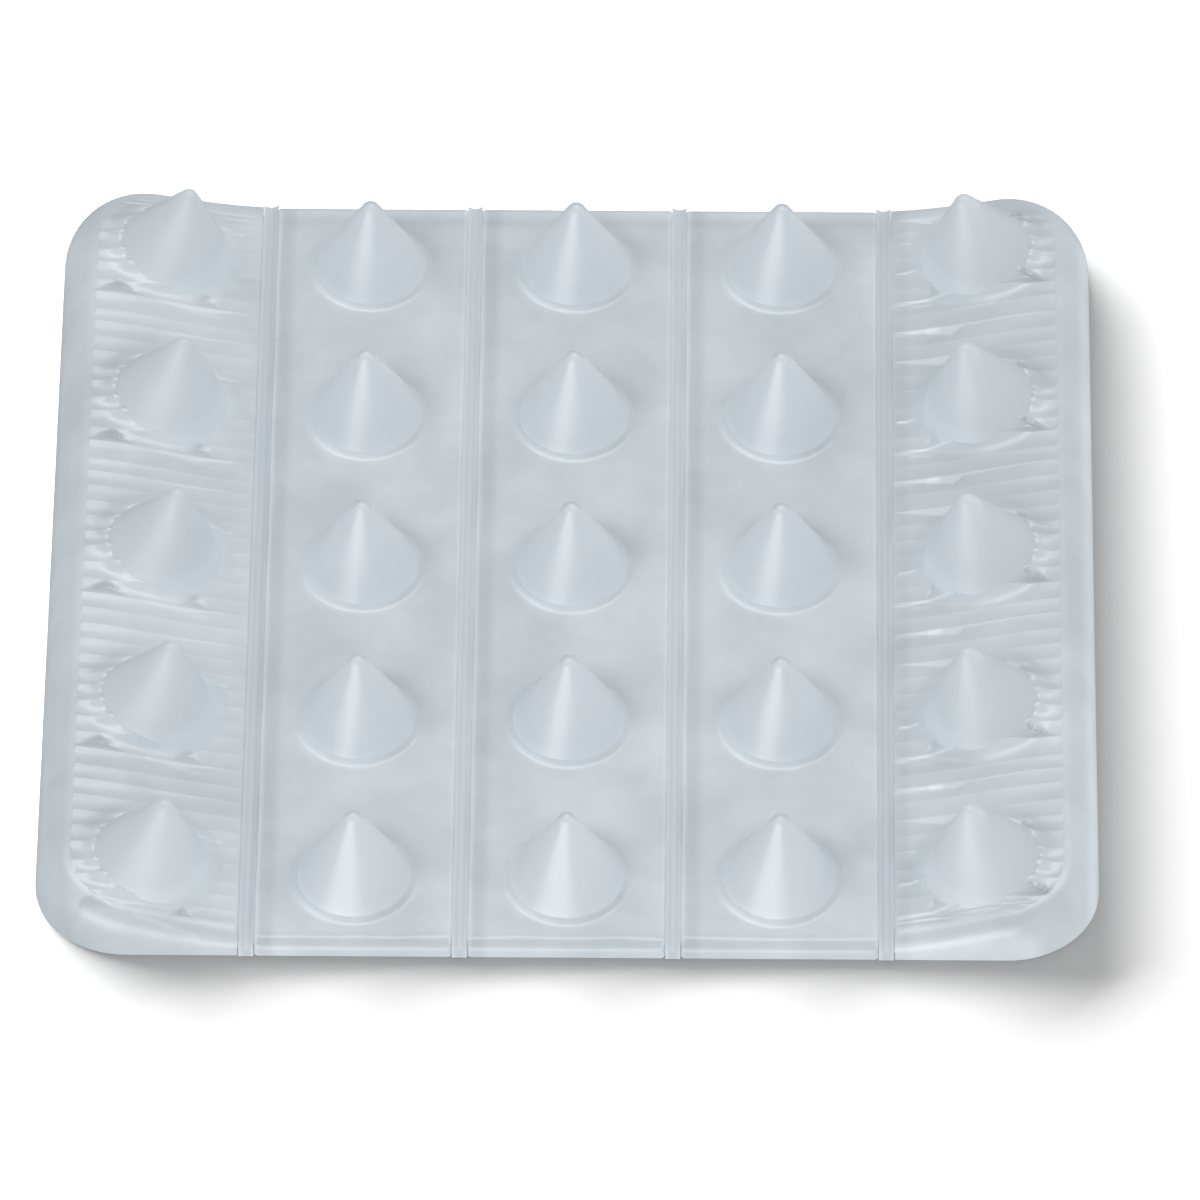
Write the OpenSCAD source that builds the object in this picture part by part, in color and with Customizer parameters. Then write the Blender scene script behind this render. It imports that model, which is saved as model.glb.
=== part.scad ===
// Snowboard stomp pad: a clear moulded traction mat of five strips that fold along four thin webs.
// The underside of its adhesive film lies on z = 0, +Y runs along the folds, and the origin is
// in the middle of the pad on the board's surface.

/* [Layout] */
// Distance between neighbouring spikes, which is also the distance between neighbouring folds
pitch = 25.4; // [22:0.1:30]
// Spikes along each strip
spikes_along = 5; // [3:1:7]
// How far the strips' ends are cut back inside the end spikes' cells
end_cut = 1.7; // [0:0.1:3]

/* [Flat strips] */
// Thickness of the three flat strips
strip_t = 2.1; // [1.7:0.1:4]
// Radius along the strips' front and back top edges
end_r = 1.6; // [0.4:0.1:1.6]
// Radius along the strips' long top edges, beside the folds
lip_r = 0.3; // [0.1:0.05:0.6]

/* [Folds] */
// Width of the groove above each web
groove_w = 1.8; // [1:0.1:3]
// Thickness of the web that bends under each groove
web_t = 1.4; // [0.6:0.1:1.4]

/* [Outer wedges] */
// Height of a wedge above the board beside its fold
heel_h = 2.95; // [2.4:0.05:4]
// Slope of a wedge's top, which rises away from the fold
ramp_angle = 11.5; // [6:0.5:14]
// Corner radius of the pad, seen from above
corner_r = 11; // [8:0.5:14]
// Width of the rounded rim around a wedge
rim_w = 3.6; // [2:0.1:4.5]
// How far the rounded rim drops before it meets the upright wall
rim_drop = 2.4; // [1.5:0.1:3]
// Distance of a wedge's spikes from its fold, measured where they stand
wedge_spike_x = 11.6; // [11:0.1:13]
// Height of a wedge's spikes above its ramp
wedge_spike_h = 10.6; // [6:0.1:12]
// Diameter of a wedge's spikes where their straight flank meets its ramp
wedge_spike_d = 14.8; // [10:0.1:16]

/* [Spikes] */
// Height of a flat strip's spikes above its deck
spike_h = 11.2; // [6:0.1:14]
// Diameter of a flat strip's spikes where their straight flank meets the deck
spike_d = 14; // [10:0.1:16]
// Radius of a spike's tip
tip_r = 1.2; // [0.6:0.1:2]
// Radius of the hollow fillet around a spike's foot
foot_r = 1.2; // [0.6:0.1:1.6]

/* [Adhesive] */
// Thickness of the adhesive film
film_t = 0.3; // [0.15:0.05:0.8]
// How far the film stops short of each strip's edge
film_inset = 0.8; // [0.4:0.1:2]

/* [Hidden] */
$fn = 48;
PAD_L = pitch * spikes_along - 2 * end_cut;
PAD_HALF = pitch * 5 / 2;
STRIP_W = pitch - groove_w;
DECK = film_t + strip_t;
INNER_FOLD = pitch / 2;
OUTER_FOLD = pitch * 3 / 2;
HEEL_X = OUTER_FOLD + groove_w / 2;
RAMP = tan(ramp_angle);
// A foot ends in this small step, so that its edge has a thickness
FOOT_STEP = 0.05;
FOOT_START = acos(1 - FOOT_STEP / foot_r);
ARC_STEPS = 8;
// A thin slice that gives a hull its flat underside
SLICE = 0.4;

PAD_COLOR = [0.76, 0.8, 0.84];
SPIKE_COLOR = [0.82, 0.86, 0.89];
WEB_COLOR = [0.68, 0.73, 0.77];
FILM_COLOR = [0.9, 0.91, 0.86];

// Points of an ellipse's arc between two angles
function arc(centre, radii, from, to) = [
    for (i = [0 : ARC_STEPS])
        let (a = from + (to - from) * i / ARC_STEPS)
        [centre[0] + radii[0] * cos(a), centre[1] + radii[1] * sin(a)]
];

// Section of a strip w wide, with its two top edges rounded
module deck_section(w, edge_r) {
    translate([-w / 2, film_t]) square([w, strip_t - edge_r]);
    translate([-w / 2 + edge_r, film_t]) square([w - 2 * edge_r, strip_t]);
    for (side = [-1, 1])
        translate([side * (w / 2 - edge_r), DECK - edge_r]) circle(edge_r);
}

// A flat strip whose middle is at x
module strip(x) {
    translate([x, 0, 0]) intersection() {
        rotate([90, 0, 90]) linear_extrude(STRIP_W, center = true) deck_section(PAD_L, end_r);
        rotate([90, 0, 0]) linear_extrude(PAD_L, center = true) deck_section(STRIP_W, lip_r);
    }
}

// A spike's flank is tangent to its tip sphere; this is its angle above the face it stands on
function flank_angle(height, diameter) =
    atan2(height - tip_r, diameter / 2) + asin(tip_r / norm([height - tip_r, diameter / 2]));

// A spike standing on z = 0: fillet at the foot, straight flank, round tip
module spike(height, diameter) {
    flank = flank_angle(height, diameter);
    foot_x = diameter / 2 + foot_r * tan(flank / 2);
    rotate_extrude() polygon(concat(
        [[0, 0], [foot_x - foot_r * sin(FOOT_START), 0]],
        arc([foot_x, foot_r], [foot_r, foot_r], 270 - FOOT_START, 270 - flank),
        arc([0, height - tip_r], [tip_r, tip_r], 90 - flank, 90)
    ));
}

// Repeats its children at each spike's place along a strip
module spike_row() {
    for (i = [0 : spikes_along - 1])
        translate([0, (i - (spikes_along - 1) / 2) * pitch, 0]) children();
}

module strip_spikes(x) {
    translate([x, 0, DECK]) spike_row() spike(spike_h, spike_d);
}

// Plan of the right wedge, drawn in from its true edge by inset
module wedge_plan(inset) {
    outer = corner_r - inset;
    end = PAD_L / 2 - corner_r;
    translate([HEEL_X + inset, -end]) square([PAD_HALF - HEEL_X - 2 * inset, 2 * end]);
    for (side = [-1, 1]) {
        translate([PAD_HALF - corner_r, side * end]) circle(outer);
        translate([HEEL_X + inset, side > 0 ? end : -end - outer])
            square([PAD_HALF - corner_r - HEEL_X - inset, outer]);
    }
}

// Rounded shoulder of one outer corner, with its flat top at z = 0
module rim_shoulder() {
    rotate_extrude($fn = 32) polygon(concat(
        [[0, 0]],
        arc([corner_r - rim_w, -rim_drop], [rim_w, rim_drop], 90, 0),
        [[0, -rim_drop]]
    ));
}

// The right wedge: flat below, its top a ramp from the heel up to the rounded rim
module wedge() {
    hull() {
        translate([0, 0, film_t]) linear_extrude(SLICE) wedge_plan(0);
        multmatrix([[1, 0, 0, 0], [0, 1, 0, 0], [RAMP, 0, 1, heel_h - RAMP * HEEL_X]])
            for (side = [-1, 1])
                translate([PAD_HALF - corner_r, side * (PAD_L / 2 - corner_r), 0]) rim_shoulder();
        translate([HEEL_X + lip_r, 0, heel_h - lip_r]) rotate([90, 0, 0])
            cylinder(r = lip_r, h = PAD_L - 2 * end_r, center = true, $fn = 16);
        translate([HEEL_X + lip_r, 0, heel_h - end_r]) rotate([90, 0, 0])
            cylinder(r = lip_r, h = PAD_L, center = true, $fn = 16);
    }
}

// The right wedge's spikes stand square to its ramp, so they lean in over the pad
module wedge_spikes() {
    x = OUTER_FOLD + wedge_spike_x;
    translate([x, 0, heel_h + RAMP * (x - HEEL_X)]) rotate([0, -ramp_angle, 0])
        spike_row() spike(wedge_spike_h, wedge_spike_d);
}

// The thin bridge that two strips share, under the groove at x
module web(x) {
    translate([x - groove_w / 2, -PAD_L / 2, film_t]) cube([groove_w, PAD_L, web_t]);
}

module strip_film(x) {
    translate([x - STRIP_W / 2 + film_inset, film_inset - PAD_L / 2, 0])
        cube([STRIP_W - 2 * film_inset, PAD_L - 2 * film_inset, film_t]);
}

module wedge_film() {
    linear_extrude(film_t) wedge_plan(film_inset);
}

module centre_strip() { color(PAD_COLOR) strip(0); }
module centre_spikes() { color(SPIKE_COLOR) strip_spikes(0); }
module centre_adhesive() { color(FILM_COLOR) strip_film(0); }

module inner_left_strip() { color(PAD_COLOR) strip(-pitch); }
module inner_left_spikes() { color(SPIKE_COLOR) strip_spikes(-pitch); }
module inner_left_adhesive() { color(FILM_COLOR) strip_film(-pitch); }

module inner_right_strip() { color(PAD_COLOR) strip(pitch); }
module inner_right_spikes() { color(SPIKE_COLOR) strip_spikes(pitch); }
module inner_right_adhesive() { color(FILM_COLOR) strip_film(pitch); }

module outer_left_wedge() { color(PAD_COLOR) mirror([1, 0, 0]) wedge(); }
module outer_left_spikes() { color(SPIKE_COLOR) mirror([1, 0, 0]) wedge_spikes(); }
module outer_left_adhesive() { color(FILM_COLOR) mirror([1, 0, 0]) wedge_film(); }

module outer_right_wedge() { color(PAD_COLOR) wedge(); }
module outer_right_spikes() { color(SPIKE_COLOR) wedge_spikes(); }
module outer_right_adhesive() { color(FILM_COLOR) wedge_film(); }

module inner_left_web() { color(WEB_COLOR) web(-INNER_FOLD); }
module inner_right_web() { color(WEB_COLOR) web(INNER_FOLD); }
module outer_left_web() { color(WEB_COLOR) web(-OUTER_FOLD); }
module outer_right_web() { color(WEB_COLOR) web(OUTER_FOLD); }

centre_strip();
centre_spikes();
centre_adhesive();
inner_left_strip();
inner_left_spikes();
inner_left_adhesive();
inner_right_strip();
inner_right_spikes();
inner_right_adhesive();
outer_left_wedge();
outer_left_spikes();
outer_left_adhesive();
outer_right_wedge();
outer_right_spikes();
outer_right_adhesive();
inner_left_web();
inner_right_web();
outer_left_web();
outer_right_web();
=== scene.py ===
"""Looks of the snowboard stomp pad: five moulded strips of milky polyurethane that carry 25 spikes,
four thin webs that bend between them, and the adhesive film underneath. X runs across the strips,
Y runs along them to the back, and every length is in metres."""

import math

import bpy
import numpy as np
from mathutils import Matrix, Vector


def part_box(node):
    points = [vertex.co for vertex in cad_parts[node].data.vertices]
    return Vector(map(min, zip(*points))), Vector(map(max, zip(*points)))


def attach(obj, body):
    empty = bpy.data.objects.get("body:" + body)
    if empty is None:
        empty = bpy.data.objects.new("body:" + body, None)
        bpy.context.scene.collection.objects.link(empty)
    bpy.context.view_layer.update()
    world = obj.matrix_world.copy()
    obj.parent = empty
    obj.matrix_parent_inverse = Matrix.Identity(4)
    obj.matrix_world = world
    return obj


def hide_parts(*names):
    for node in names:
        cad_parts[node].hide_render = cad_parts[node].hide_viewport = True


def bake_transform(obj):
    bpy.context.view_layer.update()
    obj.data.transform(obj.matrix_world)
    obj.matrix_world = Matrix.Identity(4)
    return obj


MM = 0.001

# Layout, as in the CAD model
PITCH = 25.4 * MM
SPIKES_ALONG = 5
FLAT_STRIPS = {"centre": 0, "inner_left": -1, "inner_right": 1}
WEDGES = {"outer_left": -1, "outer_right": 1}
FOLDS = {
    "inner_left_web": ("inner_left", "centre"),
    "inner_right_web": ("centre", "inner_right"),
    "outer_left_web": ("outer_left", "inner_left"),
    "outer_right_web": ("inner_right", "outer_right"),
}

# Creases over this angle stay sharp
SHARP_ANGLE = math.radians(40)

# Edges of flat strips and wedges
LIP_R = 0.3 * MM
BOTTOM_R = 0.25 * MM
BOTTOM_STEPS = 3

# Spikes of the flat strips. A flank ends in a crease; a shallow hollow foot runs out from there.
# The places run from 0 to 1 down the flank and out over the foot
SPIKE_H = 11.2 * MM
SPIKE_D = 14 * MM
TIP_R = 1.2 * MM
CREASE_Z = 0.4 * MM
FOOT_END_R = 7.9 * MM
TIP_RINGS = 8
FLANK_PLACES = (0.05, 0.12, 0.2, 0.28, 0.36, 0.44, 0.52, 0.6, 0.68, 0.76, 0.84, 0.91, 0.96, 0.99, 1)
FOOT_PLACES = (0.04, 0.15, 0.3, 0.45, 0.6, 0.8, 1)
DECK_RINGS = 10

# Flat strips
END_R = 1.6 * MM
PLAN_R = 0.6 * MM
DECK_WAVE = 0.03 * MM
ARC_STEPS = 8
LIP_STEPS = 4

# Wedges: a ramp between an upright heel and a rounded rim. RAMP_BEND is how much steeper it is
# halfway than on average, and flatter at both ends
HEEL_H = 2.95 * MM
HEEL_PLAN_R = 0.4 * MM
RAMP_RISE = 4.25 * MM
RAMP_BEND = 0.22
RAMP_ANGLE = math.radians(11.5)
RAMP_WAVE = 0.02 * MM
RAMP_COLUMNS = 84
RIM_COLUMNS = (0.982, 0.991, 0.996)
CORNER_R = 11 * MM
SIDE_RIM_W = 4.2 * MM
END_RIM_W = 2.9 * MM
RIM_WALL = 0.6 * MM
RIM_STEPS = 18
RIM_SQUARENESS = 2.2
# Half axes of the ramp's own corners, inside the rim
RAMP_CORNER_X = CORNER_R - SIDE_RIM_W
RAMP_CORNER_Y = CORNER_R - END_RIM_W

# Spikes of the wedges, measured from the fold and square to the ramp
WEDGE_SPIKE_X = 11.6 * MM
WEDGE_SPIKE_H = 10.6 * MM
WEDGE_SPIKE_D = 14.8 * MM
SPIKE_ROOT = 1.5 * MM
SPIKE_SEGMENTS = 128
WEDGE_FLANK_STEPS = 22

# Mill marks across the ramps: hollows between sharp ridges, five to each spike, the same at every
# spike. A lower side ridge splits each hollow, somewhere in SPLIT_RANGE. RIDGE_STAND is how far the
# marks rise towards the rim, and ROW_GAP keeps rows apart where a facet has no width. -1 is the
# left ramp, 1 the right
SCALLOP = PITCH / 5
SPLIT_RANGE = (0.45, 0.6)
RIDGE_Y = {-1: 1.15 * MM, 1: -1.15 * MM}
RIDGE_STAND = {-1: 0.12 * MM, 1: 0.05 * MM}
RIDGE_CLEARANCE = 0.5 * MM
ROW_GAP = 0.002 * MM
HOLLOW_HEEL = 0.03 * MM
HOLLOW_RIM = {-1: 0.075 * MM, 1: 0.055 * MM}
HOLLOW_PLACES = (0.04, 0.15, 0.35, 0.55, 0.75, 0.9, 0.97)
CORNER_STEPS = 24
# The marks fade out beside the ramp's edges
FADE_SIDE = 0.3 * MM
FADE_END = 0.5 * MM
# Flat facets slope down in front of each ridge. A facet is (start, widest, end, width, slope): its
# first three run from 0 at the heel to 1 at the rim and may pass it, its width is a part of its
# hollow, and its slope is in degrees. FACETS has one row for each of a spike's ridges
FACETS = {
    -1: (
        ((0.8, 1, 1.3, 0.5, 8), (0.05, 0.2, 0.3, 0.12, 14)),
        ((0.6, 1, 1.3, 0.5, 5),),
        ((0.12, 1, 1.3, 0.45, 6), (0.1, 0.5, 0.9, 0.15, 12)),
        ((0.1, 1, 1.3, 0.4, 7), (0.1, 0.35, 0.7, 0.25, 11)),
        ((0.68, 1, 1.3, 0.45, 6),),
    ),
    1: (
        ((0.72, 1, 1.3, 0.55, 4), (0.03, 0.2, 0.26, 0.35, 10)),
        ((0.8, 1, 1.3, 0.5, 4), (0.03, 0.2, 0.26, 0.3, 8)),
        ((0, 0.34, 0.42, 0.6, 9),),
        ((0, 0.36, 0.45, 0.5, 11), (0.1, 0.5, 0.95, 0.14, 11)),
        ((0, 0.4, 0.55, 0.35, 13), (0.8, 1, 1.3, 0.5, 4)),
    ),
}
SIDE_FACETS = ((0.45, 1, 1.3, 0.3, 4),)
FACET_PLACES = (0, 0.04, 0.35, 0.7, 0.96)
# The ramp's hollow foot around a wedge's spikes
SKIRT_R = 9.2 * MM
SKIRT_H = 0.5 * MM
# Pockets behind some ridges, darkened by painted shade, from a spike's axis: ridge, middle, half
# width, depth at the back
POCKET_LENGTH = 2 * MM
POCKETS = {
    -1: (
        (RIDGE_Y[-1] - 2 * SCALLOP, 6.7 * MM, 3.2 * MM, 0.5 * MM),
        (RIDGE_Y[-1] - 2 * SCALLOP, -4 * MM, 2 * MM, 0.25 * MM),
    ),
    1: (
        (RIDGE_Y[1] - SCALLOP, 5.7 * MM, 3.1 * MM, 0.8 * MM),
        (RIDGE_Y[1] - SCALLOP, -5.7 * MM, 1.1 * MM, 0.2 * MM),
        (RIDGE_Y[1] + SCALLOP, 5 * MM, 1.8 * MM, 0.25 * MM),
    ),
}

# Painted highlights of streaks and small facets, from a spike's axis in mm: two ends (outward,
# back), half width, strength
GLEAMS = {
    -1: (
        (-5.2, 4.9, -8.6, 4.4, 0.25, 0.16),
        (2, -9, -6.4, -10.4, 0.25, 0.1),
        (9.4, 2.4, 6.2, 1.9, 0.7, 0.12),
        (9.4, -2.9, 5.6, -3.1, 0.6, 0.08),
    ),
    1: (
        (-11, -6.9, -2.4, -5.9, 0.22, 0.24),
        (-8.6, -7.3, -5.5, -7.3, 0.2, 0.16),
        (-11, -11.9, -4.6, -11.5, 0.3, 0.16),
        (-6.6, -11.8, -4.6, -11.7, 0.5, 0.16),
        (-10.2, -1.4, -7.6, -1.2, 0.2, 0.22),
        (9.6, 0.9, 6.2, 0.6, 0.9, 0.04),
    ),
}

# Painted light and shade, as parts of the base colour: the painted light on the moulding's upright
# walls, how much that differs between the wedges, how dark a pocket's painted shade is once it is
# POCKET_FULL deep, and how much painted shade darkens a wedge's spikes on their outer side
WALL_GLOW = 0.12
WALL_GLOW_SIDE = 0.05
POCKET_DIM = 0.16
POCKET_FULL = 0.25 * MM
OUTWARD_DIM = {-1: 0.015, 1: 0.06}

# Webs under the grooves
WEB_RISE = 0.45 * MM
WEB_END_GAP = 0.05 * MM
WEB_STEPS = 12
WEB_LENGTH_STEPS = 120

# Adhesive film
FILM_INSET = 0.8 * MM
FILM_CORNER_R = 0.8 * MM
FILM_CORNER_STEP = 6

# Base colours: the polyurethane's own, and that of the clouds in it. The spikes, the wedges' spikes
# and the webs have it painted lighter: painted light
CLEAR_COLOURS = ((0.695, 0.755, 0.80), (0.60, 0.66, 0.705))
SPIKE_COLOURS = ((0.745, 0.798, 0.845), (0.72, 0.773, 0.82))
WEDGE_SPIKE_PAINTED_COLOURS = ((0.715, 0.768, 0.815), (0.685, 0.74, 0.785))
WEB_COLOURS = ((0.70, 0.755, 0.80), (0.68, 0.735, 0.78))
FLOOR_LEVEL = 0.46

# The photograph's camera: a long lens from above the front edge
CAMERA_ELEVATION = math.radians(47)
CAMERA_TURN = math.radians(-0.65)
CAMERA_ROLL = math.radians(-0.1)
CAMERA_DISTANCE = 1805 * MM
CAMERA_LENS = 447
CAMERA_AIM = Vector((3.42 * MM, -8.49 * MM, 5.68 * MM))

SEED = 7
WAVE_LENGTHS = (5 * MM, 25 * MM)


def smooth(t):
    """Smooth step from 0 to 1."""
    t = np.clip(t, 0, 1)
    return t * t * (3 - 2 * t)


class Ripple:
    """A fixed random field of long soft waves, between about -1 and 1."""

    def __init__(self, seed, shortest, longest, waves=14):
        rng = np.random.default_rng(seed)
        length = rng.uniform(shortest, longest, waves)
        turn = rng.uniform(0, 2 * np.pi, waves)
        self.kx = 2 * np.pi / length * np.cos(turn)
        self.ky = 2 * np.pi / length * np.sin(turn)
        self.phase = rng.uniform(0, 2 * np.pi, waves)
        self.scale = 1 / math.sqrt(waves)

    def __call__(self, x, y):
        total = 0
        for kx, ky, phase in zip(self.kx, self.ky, self.phase):
            total = total + np.sin(kx * x + ky * y + phase)
        return total * self.scale


def flank_angle(height, diameter):
    """Angle of a spike's straight flank above the face it stands on; it is tangent to the tip."""
    tip_z = height - TIP_R
    return math.atan2(tip_z, diameter / 2) + math.asin(TIP_R / math.hypot(tip_z, diameter / 2))


def tip_profile(height, diameter):
    """Radius and height of the rings of a spike's round tip, from the top down."""
    turn = np.linspace(0, flank_angle(height, diameter), TIP_RINGS + 1)[1:]
    return [(TIP_R * math.sin(a), height - TIP_R + TIP_R * math.cos(a)) for a in turn]


def spike_profile():
    """Radius and height of a flat strip's spike's rings, from the tip down to the deck."""
    rings = tip_profile(SPIKE_H, SPIKE_D)
    top_r, top_z = rings[-1]
    foot_r = SPIKE_D / 2 - CREASE_Z / math.tan(flank_angle(SPIKE_H, SPIKE_D))
    for t in FLANK_PLACES:
        rings.append((top_r + t * (foot_r - top_r), top_z + t * (CREASE_Z - top_z)))
    for t in FOOT_PLACES:
        rings.append((foot_r + t * (FOOT_END_R - foot_r), CREASE_Z * (1 - t) ** 2))
    return np.array(rings)


def quads(rows, columns, start=0, closed_rows=False):
    """Faces of a grid whose vertices run column by column within each row."""
    r = np.arange(rows if closed_rows else rows - 1)[:, None]
    c = np.arange(columns - 1)[None, :]
    after = (r + 1) % rows
    a = r * columns + c
    b = after * columns + c
    faces = np.stack([a, a + 1, b + 1, b], axis=-1).reshape(-1, 4) + start
    return faces.tolist()


def round_plan_corner(x, y, corner_x, corner_y, side, radius):
    """Squeezes the points of a square plan corner into a quarter circle of that radius. Side is 1 at
    a right corner and -1 at a left one."""
    end = np.sign(corner_y)
    u = 1 - (corner_x - x) * side / radius
    v = 1 - (corner_y - y) * end / radius
    inside = (u > 0) & (v > 0)
    u2 = np.where(inside, u * np.sqrt(np.clip(1 - v * v / 2, 0, 1)), u)
    v2 = np.where(inside, v * np.sqrt(np.clip(1 - u * u / 2, 0, 1)), v)
    return corner_x - (1 - u2) * radius * side, corner_y - (1 - v2) * radius * end


def add_mesh(name, vertices, faces, material, shade=None):
    """Makes a smooth-shaded object whose strong creases stay sharp. Its shade attribute paints light
    and shade into the polyurethane's colour from point to point."""
    mesh = bpy.data.meshes.new(name)
    mesh.from_pydata(np.asarray(vertices).tolist(), [], faces)
    mesh.validate()
    mesh.polygons.foreach_set("use_smooth", [True] * len(mesh.polygons))
    mesh.set_sharp_from_angle(angle=SHARP_ANGLE)
    mesh.materials.append(material)
    if shade is None:
        shade = np.ones(len(mesh.vertices))
    attribute = mesh.attributes.new("shade", "FLOAT", "POINT")
    attribute.data.foreach_set("value", np.asarray(shade, np.float32).ravel())
    obj = bpy.data.objects.new(name, mesh)
    bpy.context.collection.objects.link(obj)
    return obj


def nearest_row(y):
    """Y of the row of spikes that is nearest."""
    return PITCH * np.clip(np.round(y / PITCH), -(SPIKES_ALONG // 2), SPIKES_ALONG // 2)


def bump_at(value, middle, width):
    """A bell curve, 1 at its middle."""
    return np.exp(-((value - middle) / width) ** 2)


def around(dx, dy, azimuth, width):
    """Bell curve over the direction from a spike's axis; azimuth 0 is in front, 90 on the right."""
    angle = np.degrees(np.arctan2(dx, -dy)) - azimuth
    return bump_at((angle + 180) % 360 - 180, 0, width)


def margin_shade_band(inside):
    """Painted shade in a band beside a groove; inside is the distance from the strip's edge."""
    return smooth(inside / (0.4 * MM)) * smooth((2.6 * MM - inside) / (1.4 * MM))


def spike_shade(dx, dy, height):
    """Painted light and shade around a flat strip's spike: painted light round its foot, strongest at
    the front left, painted shade on the foot at the front right, a soft painted shadow behind it on
    the right, and painted shade on the back of its tip."""
    r = np.hypot(dx, dy)
    shade = 1 + 0.09 * bump_at(r, 7 * MM, 0.55 * MM)
    shade = shade + 0.13 * bump_at(r, 7.4 * MM, 0.5 * MM) * around(dx, dy, -36, 36)
    shade = shade - 0.15 * bump_at(r, 7.3 * MM, 0.5 * MM) * around(dx, dy, 42, 28)
    shade = shade - 0.13 * bump_at(r, 7.7 * MM, 1.6 * MM) * around(dx, dy, 134, 42)
    tip = smooth((height - SPIKE_H + 1.1 * MM) / (0.5 * MM))
    return shade - 0.14 * tip * smooth((dy + 0.5 * MM) / (0.6 * MM))


def strip_shade(x, y, z, half_x, half_y, deck):
    """Painted light and shade over a flat strip: also painted shade along its left margin and inside
    both ends, painted highlights on its lips, its right margin and its back edge, and painted light
    on its walls.
    """
    shade = spike_shade(x, y - nearest_row(y), z - deck)
    shade = shade - 0.12 * margin_shade_band(x + half_x)
    shade = shade + 0.14 * smooth((np.abs(x) - half_x + 0.1 * MM) / (0.2 * MM))
    shade = shade + 0.02 * bump_at(half_x - x, 0.8 * MM, 1 * MM)
    shade = shade - 0.07 * bump_at(half_y - y, 3.2 * MM, 0.8 * MM)
    shade = shade + 0.08 * bump_at(half_y - y, 1.4 * MM, 0.5 * MM)
    shade = shade - 0.06 * bump_at(half_y + y, 1.6 * MM, 0.6 * MM)
    return shade + WALL_GLOW * smooth((deck - 0.5 * MM - z) / (1 * MM))


def spike_cell(half_x, before, after):
    """Grid of one spike and the deck around it: rings on the spike turn into the cell's rectangle.
    Returns x, y and z arrays, rows along y and columns along x, with the spike's axis at 0, 0."""
    profile = spike_profile()
    last = len(profile)
    n = last + DECK_RINGS
    row, column = np.meshgrid(np.arange(-n, n + 1), np.arange(-n, n + 1), indexing="ij")
    ring = np.maximum(np.abs(row), np.abs(column))
    p, q = column / np.maximum(ring, 1), row / np.maximum(ring, 1)
    wide = np.abs(column) >= np.abs(row)
    circle_x = np.where(wide, np.sign(column) * np.cos(np.pi / 4 * q), np.sin(np.pi / 4 * p))
    circle_y = np.where(wide, np.sin(np.pi / 4 * q), np.sign(row) * np.cos(np.pi / 4 * p))
    radius = np.concatenate([[0], profile[:, 0], np.full(DECK_RINGS, profile[-1, 0])])[ring]
    height = np.concatenate([[SPIKE_H], profile[:, 1], np.zeros(DECK_RINGS)])[ring]
    out = np.clip((ring - last) / DECK_RINGS, 0, 1)
    edge_x = p * half_x
    edge_y = q * np.where(q > 0, after, before)
    x = (1 - out) * radius * circle_x + out * edge_x
    y = (1 - out) * radius * circle_y + out * edge_y
    return x, y, height


def end_rows(reach):
    """Section over a flat strip's end, from the deck's edge round to the underside.
    Each entry is (distance out, distance down, outward normal, upward normal)."""
    deep = reach - BOTTOM_R
    section = []
    for a in np.linspace(0, math.pi / 2, ARC_STEPS + 1)[1:]:
        section.append((END_R * math.sin(a), END_R * (1 - math.cos(a)), math.sin(a), math.cos(a)))
    for a in np.linspace(0, math.pi / 2, BOTTOM_STEPS + 1):
        section.append((END_R - BOTTOM_R * (1 - math.cos(a)), deep + BOTTOM_R * math.sin(a),
                        math.cos(a), -math.sin(a)))
    return section


def paint_above(obj, level, material):
    """Gives the faces above a level a second material."""
    mesh = obj.data
    mesh.materials.append(material)
    centres = np.empty(3 * len(mesh.polygons))
    mesh.polygons.foreach_get("center", centres)
    mesh.polygons.foreach_set("material_index", (centres[2::3] > level).astype(np.int32))


def strip_deck(half_x, half_y):
    """Top of a flat strip with its spikes, as x, y and z arrays; z is 0 on the deck."""
    xs, ys, zs = [], [], []
    for i in range(SPIKES_ALONG):
        axis_y = (i - (SPIKES_ALONG - 1) / 2) * PITCH
        first, final = i == 0, i == SPIKES_ALONG - 1
        before = half_y - END_R + axis_y if first else PITCH / 2
        after = half_y - END_R - axis_y if final else PITCH / 2
        x, y, z = spike_cell(half_x, before, after)
        skip = 0 if first else 1
        xs.append(x[skip:])
        ys.append(y[skip:] + axis_y)
        zs.append(z[skip:])
    return np.concatenate(xs), np.concatenate(ys), np.concatenate(zs)


def wrap_ends(x, y, z, half_y, deck, under):
    """Carries the deck round both ends down to the underside. Also returns each row's normal, as an
    array along y and one along z."""
    normal_y, normal_z = np.zeros(len(x)), np.ones(len(x))
    for out, down, ny, nz in end_rows(deck - under):
        x = np.concatenate([x[:1], x, x[-1:]])
        edge = half_y - END_R + out
        y = np.concatenate([np.full((1, x.shape[1]), -edge), y, np.full((1, x.shape[1]), edge)])
        level = np.full((1, x.shape[1]), deck - down)
        z = np.concatenate([level, z, level])
        normal_y = np.concatenate([[-ny], normal_y, [ny]])
        normal_z = np.concatenate([[nz], normal_z, [nz]])
    return x, y, z, normal_y, normal_z


def round_lips(x, y, z, normal_y, normal_z, half_x):
    """Rounds the long edges: adds columns on the left and the right that turn into the walls."""
    edges = [(y[:, 0], z[:, 0]), (y[:, -1], z[:, -1])]
    for a in np.linspace(0, math.pi / 2, LIP_STEPS + 1)[1:]:
        out = half_x + LIP_R * math.sin(a)
        sink = LIP_R * (1 - math.cos(a))
        left, right = [(edge_y - sink * normal_y, edge_z - sink * normal_z)
                       for edge_y, edge_z in edges]
        x = np.concatenate([np.full((len(x), 1), -out), x, np.full((len(x), 1), out)], axis=1)
        y = np.concatenate([left[0][:, None], y, right[0][:, None]], axis=1)
        z = np.concatenate([left[1][:, None], z, right[1][:, None]], axis=1)
    return x, y, z


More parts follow.
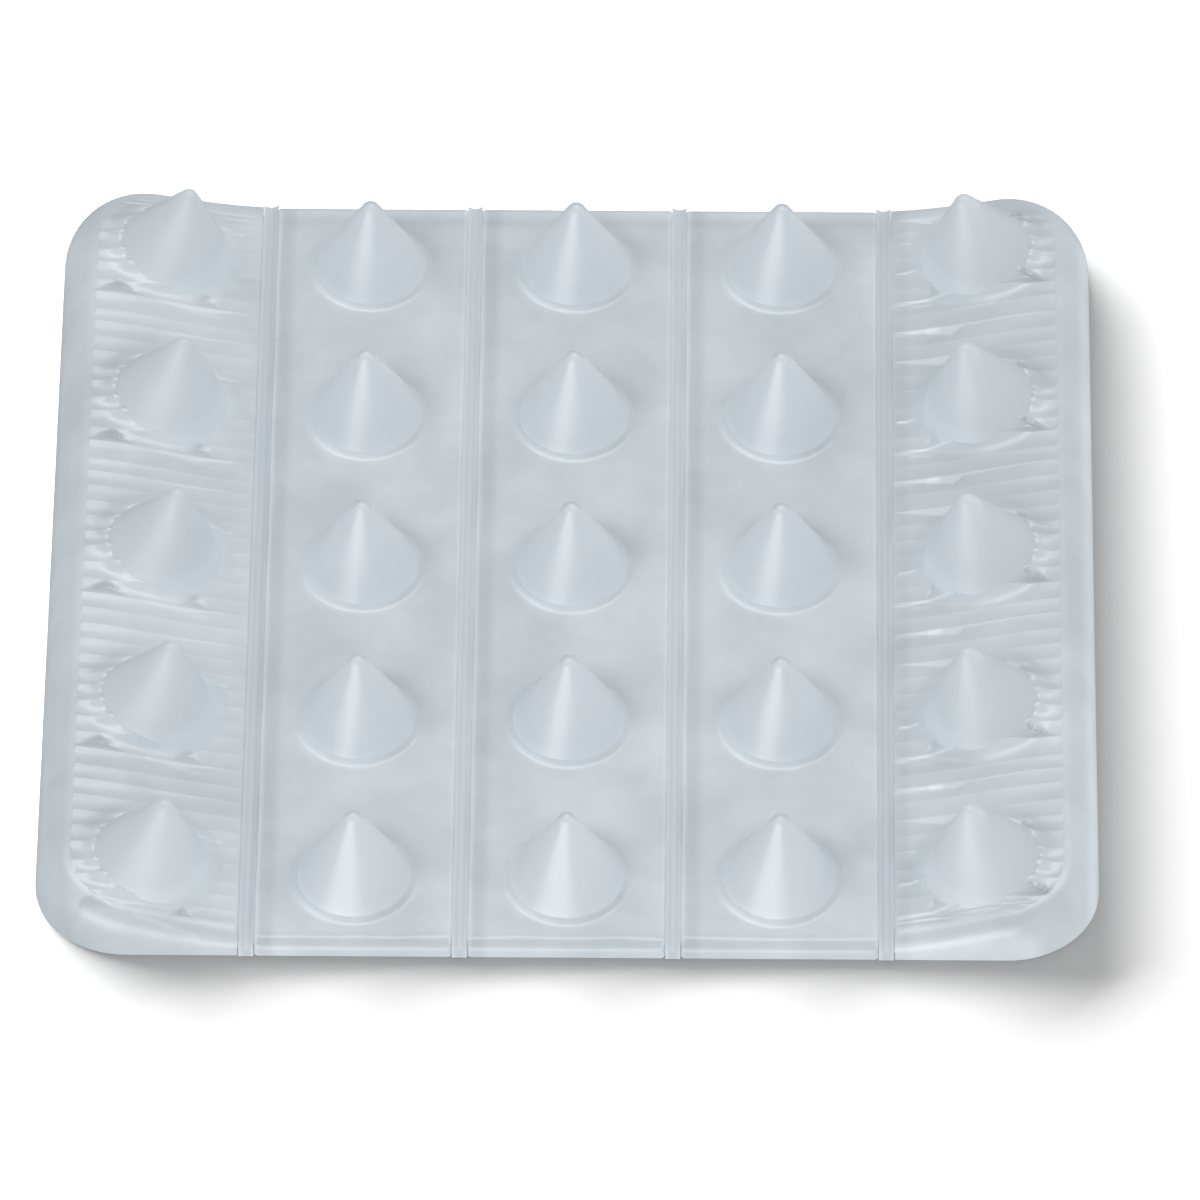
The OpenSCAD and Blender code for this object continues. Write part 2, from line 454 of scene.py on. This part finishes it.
def flat_strip(name, place, material, spike_material, waves):
    """A flat strip and its five spikes as one moulding."""
    low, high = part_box(name + "_strip")
    middle = place * PITCH
    half_x = (high.x - low.x) / 2 - LIP_R
    half_y = high.y
    deck, under = high.z, low.z
    x, y, z = strip_deck(half_x, half_y)
    swell = 1 - smooth(z / (1.5 * MM))
    z = z + deck + DECK_WAVE * swell * waves(x + middle, y)
    x, y, z, normal_y, normal_z = wrap_ends(x, y, z, half_y, deck, under)
    x, y, z = round_lips(x, y, z, normal_y, normal_z, half_x)
    for side in (-1, 1):
        for end in (-1, 1):
            x, y = round_plan_corner(x, y, side * (half_x + LIP_R), end * half_y, side, PLAN_R)
    rows, columns = x.shape
    faces = quads(rows, columns, closed_rows=True)
    left = [r * columns for r in range(rows)]
    right = [r * columns + columns - 1 for r in range(rows)]
    faces.append(left)
    faces.append(right[::-1])
    shade = strip_shade(x, y, z, half_x, half_y, deck)
    vertices = np.stack([x + middle, y, z], axis=-1).reshape(-1, 3)
    obj = add_mesh(name + "_moulding", vertices, faces, material, shade)
    paint_above(obj, deck + CREASE_Z, spike_material)
    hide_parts(name + "_strip", name + "_spikes")
    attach(obj, name)
    return obj


class WedgePlan:
    """Sizes of an outer wedge, from its CAD box. Both wedges are built as the right one, and the
    left one is then mirrored."""

    def __init__(self, name):
        low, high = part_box(name + "_wedge")
        self.outer_x = max(abs(low.x), abs(high.x))
        self.heel_x = min(abs(low.x), abs(high.x))
        self.half_y, self.under = high.y, low.z
        self.corner_x = self.outer_x - CORNER_R
        self.corner_y = self.half_y - CORNER_R
        self.ramp_end = self.half_y - END_RIM_W


def ramp_height(s):
    """Height of the ramp's middle surface; s goes from 0 at the heel to 1 at the rim."""
    return HEEL_H + RAMP_RISE * (s - RAMP_BEND * np.sin(2 * np.pi * s) / (2 * np.pi))


def facet_size(rng, s, facets):
    """Width and depth of the facets in front of one ridge at s, as parts of their hollow."""
    width, depth = np.zeros_like(s), np.zeros_like(s)
    for start, widest, end, most, slope in facets:
        shift = rng.uniform(-0.04, 0.04)
        rise = (s - start - shift) / (widest - start)
        fall = (end - s) / (end - widest)
        size = most * rng.uniform(0.8, 1.1) * np.clip(np.minimum(rise, fall), 0, 1)
        width = np.maximum(width, size)
        depth = np.maximum(depth, size * math.tan(math.radians(slope)))
    return width, depth


def mill_rows(ramp_end, s, side):
    """Rows of a ramp from the front to the back. Each row has a y, a depth below the ridges and a
    share of ridge (1) or hollow (0), all as arrays over s."""
    rng = np.random.default_rng(SEED + 20 + side)
    count = int(ramp_end / SCALLOP) + 1
    numbers = [k for k in range(count, -count - 1, -1)
               if abs(RIDGE_Y[side] + k * SCALLOP) < ramp_end - RIDGE_CLEARANCE]
    ridges = [ramp_end] + [RIDGE_Y[side] + k * SCALLOP for k in numbers] + [-ramp_end]
    numbers = [numbers[0] + 1] + numbers
    hollow = HOLLOW_HEEL + (HOLLOW_RIM[side] - HOLLOW_HEEL) * smooth(s)
    turn = np.linspace(0, math.pi / 2, CORNER_STEPS)[1:-1]
    rows = []
    for number, ridge, following in zip(numbers, ridges, ridges[1:]):
        split = rng.uniform(*SPLIT_RANGE)
        places = HOLLOW_PLACES
        if ridge == ramp_end:
            places = 1 - np.sin(turn[::-1])
        elif following == -ramp_end:
            places = np.sin(turn)
        for start, end in ((0, split), (split, 1)):
            top = ridge - start * (ridge - following)
            length = (end - start) * (ridge - following)
            facets = SIDE_FACETS if start else FACETS[side][number % len(FACETS[side])]
            width, depth = facet_size(rng, s, facets)
            width, depth = width * length, depth * length
            rest = length - width
            for t in FACET_PLACES:
                rows.append((top - t * width - ROW_GAP * t, t * depth, np.ones_like(s)))
            for t in places:
                sink = depth * (1 - t) ** 1.5 + hollow * 4 * t * (1 - t)
                rows.append((top - width - t * rest, sink, 1 - 4 * t * (1 - t) + 0 * s))
    rows.append((np.full_like(s, -ramp_end), 0 * s, np.ones_like(s)))
    rows.reverse()
    return [np.array(part) for part in zip(*rows)]


def from_spike(x, y):
    """Distances from the nearest of a wedge's spikes, outward and back."""
    return x - PITCH * 1.5 - WEDGE_SPIKE_X, y - nearest_row(y)


def pockets(dx, dy, side):
    """Depth of the pockets: each is a triangle behind its ridge that falls away to the back."""
    depth = np.zeros_like(dx)
    for ridge_y, middle, half, deepest in POCKETS[side]:
        behind = (dy - ridge_y) / POCKET_LENGTH
        limit = 1 - np.abs(dx - middle) / half
        inside = np.clip((limit - behind) / 0.15 + 1, 0, 1) * (behind >= 0) * (limit > 0)
        depth = depth + deepest * behind * inside
    return depth


def pocket_shade(dx, dy, side):
    """How much painted shade darkens a pocket on the ramp and the spikes' feet."""
    return POCKET_DIM * np.clip(pockets(dx, dy, side) / POCKET_FULL, 0, 1)


def around_spikes(x, y, ridge_share, side):
    """Height the ramp gains or loses around its spikes: a foot that the hollows cut into, and the
    pockets."""
    dx, dy = from_spike(x, y)
    near = np.clip((SKIRT_R - np.hypot(dx, dy)) / (SKIRT_R - WEDGE_SPIKE_D / 2), 0, 1.3)
    return SKIRT_H * near ** 2 * (0.65 + 0.35 * ridge_share) - pockets(dx, dy, side)


def gleams(dx, dy, side):
    """Painted light of a ramp's streaks and facets."""
    light = np.zeros_like(dx)
    for start_x, start_y, end_x, end_y, half, strength in GLEAMS[side]:
        t = (dx / MM - start_x) / (end_x - start_x)
        line = start_y + t * (end_y - start_y)
        ends = np.clip(np.minimum(t, 1 - t) * 8, 0, 1)
        light = light + strength * bump_at(dy / MM, line, half) * ends
    return light


def wedge_shade(x, y, plan, side):
    """Painted light and shade over an outer wedge: painted light round the spikes' feet and on the
    walls, a painted shadow behind each spike on its outer side, the pockets' painted shade, the
    gleams' painted highlights, and painted shade along the right heel's margin or inside the left
    rim.
    """
    dx, dy = from_spike(x, y)
    r = np.hypot(dx, dy)
    shade = 1 + 0.08 * bump_at(r, 7.2 * MM, 1.1 * MM)
    shade = shade - 0.15 * bump_at(r, 7.8 * MM, 1.7 * MM) * around(dx, dy, 122, 36)
    shade = shade - pocket_shade(dx, dy, side)
    shade = shade + gleams(dx, dy, side)
    if side > 0:
        shade = shade - 0.09 * margin_shade_band(x - plan.heel_x)
    else:
        shade = shade - 0.05 * bump_at(plan.outer_x - x, 3.6 * MM, 0.9 * MM)
    inside = np.minimum(plan.outer_x - x, (plan.half_y - np.abs(y)) * 1.6)
    # Painted light on the walls, stronger on the right wedge
    glow = WALL_GLOW + WALL_GLOW_SIDE * side
    return shade + glow * smooth((1.9 * MM - inside) / (1.4 * MM))


def ramp_grid(plan, side, waves):
    """Points of a milled ramp as x, y and z arrays: rows along y, columns outward from the heel."""
    s = np.concatenate([np.linspace(0, 1, RAMP_COLUMNS - len(RIM_COLUMNS)), RIM_COLUMNS])
    s.sort()
    y, depth, ridge_share = mill_rows(plan.ramp_end, s, side)
    round_part = np.clip((np.abs(y[:, -1:]) - plan.corner_y) / RAMP_CORNER_Y, 0, 1)
    ends = plan.corner_x + RAMP_CORNER_X * np.sqrt(1 - round_part ** 2)
    start = plan.heel_x + LIP_R
    x = start + (ends - start) * s[None, :]
    along = (x - plan.heel_x) / (plan.outer_x - SIDE_RIM_W - plan.heel_x)
    edge = np.minimum((ends - x) / FADE_SIDE, (plan.ramp_end - np.abs(y)) / FADE_END)
    cut = smooth(np.minimum(edge, (x - start) / FADE_SIDE))
    z = ramp_height(along) + RAMP_WAVE * waves(x, y)
    stand = RIDGE_STAND[side] * smooth((along - 0.5) / 0.4)
    z = z + cut * (around_spikes(x, y, ridge_share, side) + stand - depth)
    return x, y, z


def ramp_border(rows, columns):
    """Row and column of each point once around a ramp: front, rim side, back and heel."""
    path = [(0, c) for c in range(columns)]
    path += [(r, columns - 1) for r in range(1, rows - 1)]
    path += [(rows - 1, c) for c in range(columns - 1, -1, -1)]
    path += [(r, 0) for r in range(rows - 2, 0, -1)]
    return path


def rim_targets(plan, path, border):
    """For each point of a ramp's border: where its wall stands in plan, and how far down its rim
    turns into that wall."""
    last_row = max(r for r, c in path)
    target = np.empty((len(path), 2))
    drop = border[:, 2] - plan.under - RIM_WALL
    for i, (r, c) in enumerate(path):
        px, py = border[i, :2]
        if r in (0, last_row):
            target[i] = (plan.heel_x if c == 0 else px, math.copysign(plan.half_y, py))
        elif c == 0:
            target[i] = (plan.heel_x, py)
            drop[i] = LIP_R
        else:
            turn = math.asin(min(1, max(0, abs(py) - plan.corner_y) / RAMP_CORNER_Y))
            if abs(py) > plan.corner_y:
                py = math.copysign(plan.corner_y + CORNER_R * math.sin(turn), py)
            target[i] = (plan.corner_x + CORNER_R * math.cos(turn), py)
    return target, drop


def rim_rings(border, target, drop, under):
    """Rings of points from a ramp's border over its rim and down its wall to the underside."""
    rings = []
    power = 2 / RIM_SQUARENESS
    for a in np.linspace(0, math.pi / 2, RIM_STEPS + 1)[1:]:
        out = math.sin(a) ** power
        down = 1 - max(0, math.cos(a)) ** power
        plan = border[:, :2] + (target - border[:, :2]) * out
        rings.append(np.column_stack([plan, border[:, 2] - drop * down]))
    inward = border[:, :2] - target
    inward = inward / np.linalg.norm(inward, axis=1)[:, None]
    for a in np.linspace(0, math.pi / 2, BOTTOM_STEPS + 1):
        plan = target + inward * BOTTOM_R * (1 - math.cos(a))
        level = under + BOTTOM_R * (1 - math.sin(a))
        rings.append(np.column_stack([plan, np.full(len(border), level)]))
    return rings


def wedge_body(name, side, material, waves):
    """An outer wedge: milled ramp, rounded rim and upright heel."""
    plan = WedgePlan(name)
    x, y, z = ramp_grid(plan, side, waves)
    rows, columns = x.shape
    ramp = np.stack([x, y, z], axis=-1).reshape(-1, 3)
    path = ramp_border(rows, columns)
    loop = np.array([r * columns + c for r, c in path])
    target, drop = rim_targets(plan, path, ramp[loop])
    rings = rim_rings(ramp[loop], target, drop, plan.under)
    faces = quads(rows, columns)
    after = np.roll(np.arange(len(loop)), -1)
    previous = loop
    for i in range(len(rings)):
        current = len(ramp) + i * len(loop) + np.arange(len(loop))
        faces += np.stack([previous, current, current[after], previous[after]], axis=-1).tolist()
        previous = current
    faces.append(previous[::-1].tolist())
    x, y, z = np.concatenate([ramp, *rings]).T
    for end in (-1, 1):
        x, y = round_plan_corner(x, y, plan.heel_x, end * plan.half_y, -1, HEEL_PLAN_R)
    shade = wedge_shade(x, y, plan, side)
    if side < 0:
        faces = [face[::-1] for face in faces]
    vertices = np.column_stack([side * x, y, z])
    obj = add_mesh(name + "_body", vertices, faces, material, shade)
    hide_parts(name + "_wedge")
    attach(obj, name)
    return obj


def cone_shade(points, base, side):
    """Painted light and shade over a wedge's spikes: painted light on their feet, painted shade on
    their outer side and the pockets' painted shadow, and on the left wedge a painted shade band at
    the outer back and painted light low at the outer front. Base is the height at which their axes
    leave the ramp."""
    dx, dy = from_spike(points[:, 0], points[:, 1])
    outward = dx / np.maximum(np.hypot(dx, dy), 0.1 * MM)
    foot = 1 - smooth((points[:, 2] - base) / (2.5 * MM))
    near_ramp = 1 - smooth((points[:, 2] - base) / (2 * MM))
    shade = 0.975 - OUTWARD_DIM[side] * outward + 0.09 * foot
    shade = shade - near_ramp * pocket_shade(dx, dy, side)
    if side < 0:
        shade = shade - 0.05 * around(dx, dy, 126, 16)
        shade = shade + 0.04 * near_ramp * around(dx, dy, 65, 30)
    return shade


def wedge_spikes(name, side, material):
    """The five spikes of a wedge, rooted in its ramp and leaning in over the pad."""
    axis_x = PITCH * 1.5 + WEDGE_SPIKE_X
    base = HEEL_H + math.tan(RAMP_ANGLE) * (axis_x - WedgePlan(name).heel_x)
    rings = tip_profile(WEDGE_SPIKE_H, WEDGE_SPIKE_D)
    slope = 1 / math.tan(flank_angle(WEDGE_SPIKE_H, WEDGE_SPIKE_D))
    top_r, top_z = rings[-1]
    for z in np.linspace(top_z, -SPIKE_ROOT, WEDGE_FLANK_STEPS + 1)[1:]:
        rings.append((top_r + (top_z - z) * slope, z))
    turn = np.linspace(0, 2 * np.pi, SPIKE_SEGMENTS, endpoint=False)
    lean = Matrix.Rotation(-RAMP_ANGLE, 4, "Y")
    vertices, faces = [], []
    for i in range(SPIKES_ALONG):
        start = len(vertices)
        place = Matrix.Translation((axis_x, (i - (SPIKES_ALONG - 1) / 2) * PITCH, base)) @ lean
        vertices.append(place @ Vector((0, 0, WEDGE_SPIKE_H)))
        for r, z in rings:
            for a in turn:
                vertices.append(place @ Vector((r * math.cos(a), r * math.sin(a), z)))
        for j in range(SPIKE_SEGMENTS):
            after = (j + 1) % SPIKE_SEGMENTS
            faces.append([start, start + 1 + j, start + 1 + after])
            for k in range(len(rings) - 1):
                a = start + 1 + k * SPIKE_SEGMENTS
                b = a + SPIKE_SEGMENTS
                faces.append([a + j, b + j, b + after, a + after])
        bottom = start + 1 + (len(rings) - 1) * SPIKE_SEGMENTS
        faces.append([bottom + j for j in range(SPIKE_SEGMENTS)][::-1])
    points = np.array([tuple(v) for v in vertices])
    shade = cone_shade(points, base, side)
    if side < 0:
        faces = [face[::-1] for face in faces]
    points[:, 0] *= side
    obj = add_mesh(name + "_cones", points, faces, material, shade)
    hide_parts(name + "_spikes")
    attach(obj, name)
    return obj


def web(name, material):
    """The thin bridge under a groove: its top is hollow, and painted light makes it lighter where it
    meets the strips.
    """
    low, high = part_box(name)
    middle = (low.x + high.x) / 2
    half = (high.x - low.x) / 2
    across = np.linspace(-1, 1, 2 * WEB_STEPS + 1)
    lift = WEB_RISE * np.abs(across) ** 2.5
    top = np.column_stack([middle + half * across, high.z + lift])
    bottom = np.column_stack([middle + half * across[::-1], np.full(len(across), low.z)])
    section = np.concatenate([top, bottom])
    ys = np.linspace(low.y + WEB_END_GAP, high.y - WEB_END_GAP, WEB_LENGTH_STEPS)
    vertices = [(px, y, pz) for y in ys for px, pz in section]
    count = len(section)
    faces = []
    for r in range(len(ys) - 1):
        for c in range(count):
            after = (c + 1) % count
            faces.append([r * count + c, r * count + after, (r + 1) * count + after,
                          (r + 1) * count + c])
    faces.append(list(range(count))[::-1])
    faces.append([(len(ys) - 1) * count + c for c in range(count)])
    # Painted light, stronger towards both strips and most on the left
    section_shade = 0.98 + np.interp(across, (-1, -0.4, 0.4, 1), (0.22, 0, 0, 0.16))
    shade = np.tile(np.concatenate([section_shade, section_shade[::-1]]), len(ys))
    obj = add_mesh(name + "_strap", vertices, faces, material, shade)
    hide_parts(name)
    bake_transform(obj)
    return obj


def film(name, material):
    """The adhesive film under one strip, with rounded corners."""
    low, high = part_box(name + "_adhesive")
    outline = []
    for side, end, first in ((1, 1, 0), (-1, 1, 90), (-1, -1, 180), (1, -1, 270)):
        radius = CORNER_R - FILM_INSET if WEDGES.get(name) == side else FILM_CORNER_R
        centre_x = (high.x if side > 0 else low.x) - side * radius
        centre_y = (high.y if end > 0 else low.y) - end * radius
        for angle in range(first, first + 91, FILM_CORNER_STEP):
            t = math.radians(angle)
            outline.append((centre_x + radius * math.cos(t), centre_y + radius * math.sin(t)))
    count = len(outline)
    vertices = [(px, py, low.z) for px, py in outline] + [(px, py, high.z) for px, py in outline]
    faces = [list(range(count))[::-1], list(range(count, 2 * count))]
    for i in range(count):
        after = (i + 1) % count
        faces.append([i, after, count + after, count + i])
    obj = add_mesh(name + "_film", vertices, faces, material)
    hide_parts(name + "_adhesive")
    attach(obj, name)
    return obj


def new_material(name):
    """A node material and its Principled shader."""
    material = bpy.data.materials.new(name)
    material.use_nodes = True
    shader = material.node_tree.nodes["Principled BSDF"]
    return material, shader


def node(tree, kind, **values):
    """Adds a node and sets its inputs by name."""
    made = tree.nodes.new(kind)
    for key, value in values.items():
        made.inputs[key.replace("_", " ")].default_value = value
    return made


def polyurethane(name, colour, cloud_colour, roughness, subsurface):
    """Milky polyurethane: soft clouds, a fine satin grain and, unless subsurface is 0, a little light
    scattered inside."""
    material, shader = new_material(name)
    tree = material.node_tree
    place = tree.nodes.new("ShaderNodeTexCoord")
    clouds = node(tree, "ShaderNodeTexNoise", Scale=90, Detail=4, Roughness=0.55)
    ramp = tree.nodes.new("ShaderNodeValToRGB")
    ramp.color_ramp.elements[0].position = 0.35
    ramp.color_ramp.elements[0].color = (*cloud_colour, 1)
    ramp.color_ramp.elements[1].position = 0.65
    ramp.color_ramp.elements[1].color = (*colour, 1)
    grain = node(tree, "ShaderNodeTexNoise", Scale=1400, Detail=3)
    bump = node(tree, "ShaderNodeBump", Strength=0.05, Distance=0.0002)
    tree.links.new(place.outputs["Object"], clouds.inputs["Vector"])
    tree.links.new(place.outputs["Object"], grain.inputs["Vector"])
    tree.links.new(clouds.outputs["Fac"], ramp.inputs["Fac"])
    # Painted light and shade: the shade attribute scales the base colour
    shade = tree.nodes.new("ShaderNodeAttribute")
    shade.attribute_name = "shade"
    shaded = tree.nodes.new("ShaderNodeVectorMath")
    shaded.operation = "SCALE"
    tree.links.new(ramp.outputs["Color"], shaded.inputs[0])
    tree.links.new(shade.outputs["Fac"], shaded.inputs["Scale"])
    tree.links.new(shaded.outputs["Vector"], shader.inputs["Base Color"])
    tree.links.new(grain.outputs["Fac"], bump.inputs["Height"])
    tree.links.new(bump.outputs["Normal"], shader.inputs["Normal"])
    shader.inputs["Roughness"].default_value = roughness
    shader.inputs["Specular IOR Level"].default_value = 0.3
    shader.inputs["IOR"].default_value = 1.49
    shader.inputs["Subsurface Weight"].default_value = subsurface
    shader.inputs["Subsurface Radius"].default_value = (1, 1.1, 1.2)
    shader.inputs["Subsurface Scale"].default_value = 0.0010
    return material


def adhesive():
    """Pale glossy film with faint streaks in its glue."""
    material, shader = new_material("adhesive_film")
    tree = material.node_tree
    place = tree.nodes.new("ShaderNodeTexCoord")
    streaks = node(tree, "ShaderNodeTexNoise", Scale=60, Detail=5)
    ramp = tree.nodes.new("ShaderNodeValToRGB")
    ramp.color_ramp.elements[0].color = (0.74, 0.76, 0.73, 1)
    ramp.color_ramp.elements[1].color = (0.86, 0.87, 0.84, 1)
    tree.links.new(place.outputs["Object"], streaks.inputs["Vector"])
    tree.links.new(streaks.outputs["Fac"], ramp.inputs["Fac"])
    tree.links.new(ramp.outputs["Color"], shader.inputs["Base Color"])
    shader.inputs["Roughness"].default_value = 0.15
    return material


def add_floor():
    """Plain pale floor under the pad. It throws no light back at the pad."""
    material, shader = new_material("floor")
    shader.inputs["Base Color"].default_value = (FLOOR_LEVEL, FLOOR_LEVEL, FLOOR_LEVEL, 1)
    shader.inputs["Roughness"].default_value = 0.9
    shader.inputs["Specular IOR Level"].default_value = 0.1
    mesh = bpy.data.meshes.new("floor")
    size = 3
    mesh.from_pydata([(-size, -size, 0), (size, -size, 0), (size, size, 0), (-size, size, 0)], [],
                     [(0, 1, 2, 3)])
    mesh.materials.append(material)
    obj = bpy.data.objects.new("floor", mesh)
    bpy.context.collection.objects.link(obj)
    obj.location.z = -0.1 * MM
    obj.visible_diffuse = False
    obj.visible_glossy = False
    return obj


def add_light(name, azimuth, elevation, distance, size, strength):
    """A rectangular soft box that looks at the pad. Azimuth 0 is in front and 90 on the right."""
    data = bpy.data.lights.new(name, "AREA")
    data.shape = "RECTANGLE"
    data.size, data.size_y = size
    data.energy = strength
    a, e = math.radians(azimuth), math.radians(elevation)
    obj = bpy.data.objects.new(name, data)
    obj.location = (distance * math.sin(a) * math.cos(e), -distance * math.cos(a) * math.cos(e),
                    distance * math.sin(e))
    obj.rotation_euler = (-obj.location).to_track_quat("-Z", "Y").to_euler()
    bpy.context.collection.objects.link(obj)
    return obj


def add_world(diffuse, glossy, tilt):
    """Even studio light from all round, a little brighter towards tilt and dimmer in reflections."""
    world = bpy.data.worlds.new("studio")
    world.use_nodes = True
    tree = world.node_tree
    background = tree.nodes["Background"]
    place = tree.nodes.new("ShaderNodeTexCoord")
    lean = tree.nodes.new("ShaderNodeVectorMath")
    lean.operation = "DOT_PRODUCT"
    lean.inputs[1].default_value = tilt
    level = tree.nodes.new("ShaderNodeMath")
    level.operation = "ADD"
    path = tree.nodes.new("ShaderNodeLightPath")
    choose = tree.nodes.new("ShaderNodeMix")
    choose.inputs["B"].default_value = glossy
    level.inputs[1].default_value = diffuse
    tree.links.new(place.outputs["Generated"], lean.inputs[0])
    tree.links.new(lean.outputs["Value"], level.inputs[0])
    tree.links.new(level.outputs["Value"], choose.inputs["A"])
    tree.links.new(path.outputs["Is Glossy Ray"], choose.inputs["Factor"])
    tree.links.new(choose.outputs["Result"], background.inputs["Strength"])
    background.inputs["Color"].default_value = (1, 1, 1, 1)
    bpy.context.scene.world = world


def add_lamps(floor):
    """Studio lamps. Two make reflections only, one lights the front left, and one lights the floor
    alone, so that the pad throws its shadow to the front right."""
    glint = add_light("glint", -22, 12, 1.2, (1.35, 0.5), 23)
    glint.visible_diffuse = False
    top = add_light("top_strip", 180, 66, 1.2, (0.9, 0.25), 14)
    top.visible_diffuse = False
    add_light("front_left", -50, 22, 1.2, (0.4, 0.4), 1.3)
    shadow = add_light("floor_shadow", -140, 22, 1.5, (2.1, 0.75), 172)
    floor_only = bpy.data.collections.new("floor_only")
    floor_only.objects.link(floor)
    shadow.light_linking.receiver_collection = floor_only


def add_camera():
    """Places the camera by its aim point and angles."""
    data = bpy.data.cameras.new("camera")
    data.sensor_width = 36
    data.lens = CAMERA_LENS
    data.clip_end = 20
    obj = bpy.data.objects.new("camera", data)
    turn = Matrix.Rotation(-CAMERA_TURN, 4, "Z")
    aim = turn @ CAMERA_AIM
    back = turn @ Vector((0, -math.cos(CAMERA_ELEVATION), math.sin(CAMERA_ELEVATION)))
    look = turn @ Matrix.Rotation(math.pi / 2 - CAMERA_ELEVATION, 4, "X")
    roll = Matrix.Rotation(CAMERA_ROLL, 4, "Z")
    obj.matrix_world = Matrix.Translation(aim + back * CAMERA_DISTANCE) @ look @ roll
    bpy.context.collection.objects.link(obj)
    bpy.context.scene.camera = obj


def add_pad():
    """All the pad's pieces. The wedges' materials scatter no light inside: that would draw dark lines
    where the spikes stand in the ramps."""
    clear = polyurethane("clear_polyurethane", *CLEAR_COLOURS, roughness=0.36, subsurface=0.25)
    # The spikes' polyurethane is coloured lighter than the deck's: painted light
    frosted_and_painted_lighter = polyurethane("spike_polyurethane", *SPIKE_COLOURS, roughness=0.38, subsurface=0.3)
    # The wedges' spikes: painted light makes them lighter than the ramps, and they are rougher
    rough_painted_light = polyurethane("rough_painted_light_polyurethane", *WEDGE_SPIKE_PAINTED_COLOURS, roughness=0.5, subsurface=0)
    milled = polyurethane("milled_polyurethane", *CLEAR_COLOURS, roughness=0.36, subsurface=0)
    # The webs' polyurethane is coloured lighter: painted light against the shade in the grooves
    bending = polyurethane("web_polyurethane", *WEB_COLOURS, roughness=0.36, subsurface=0.1)
    glue = adhesive()
    for name, place in FLAT_STRIPS.items():
        flat_strip(name, place, clear, frosted_and_painted_lighter, Ripple(SEED + place, *WAVE_LENGTHS))
        film(name, glue)
    for name, side in WEDGES.items():
        wedge_body(name, side, milled, Ripple(SEED + 5 + side, *WAVE_LENGTHS))
        wedge_spikes(name, side, rough_painted_light)
        film(name, glue)
    for name in FOLDS:
        web(name, bending)


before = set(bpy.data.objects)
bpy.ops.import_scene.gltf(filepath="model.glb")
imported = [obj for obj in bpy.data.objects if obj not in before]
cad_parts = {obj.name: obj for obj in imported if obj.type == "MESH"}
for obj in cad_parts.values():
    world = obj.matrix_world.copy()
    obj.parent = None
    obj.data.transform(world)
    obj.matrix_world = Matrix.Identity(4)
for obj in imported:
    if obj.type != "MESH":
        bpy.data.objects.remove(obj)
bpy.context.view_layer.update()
add_pad()
add_world(diffuse=0.81, glossy=0.3, tilt=(0.17, 0, 0))
add_lamps(add_floor())
add_camera()
bpy.context.scene.view_settings.view_transform = "Standard"
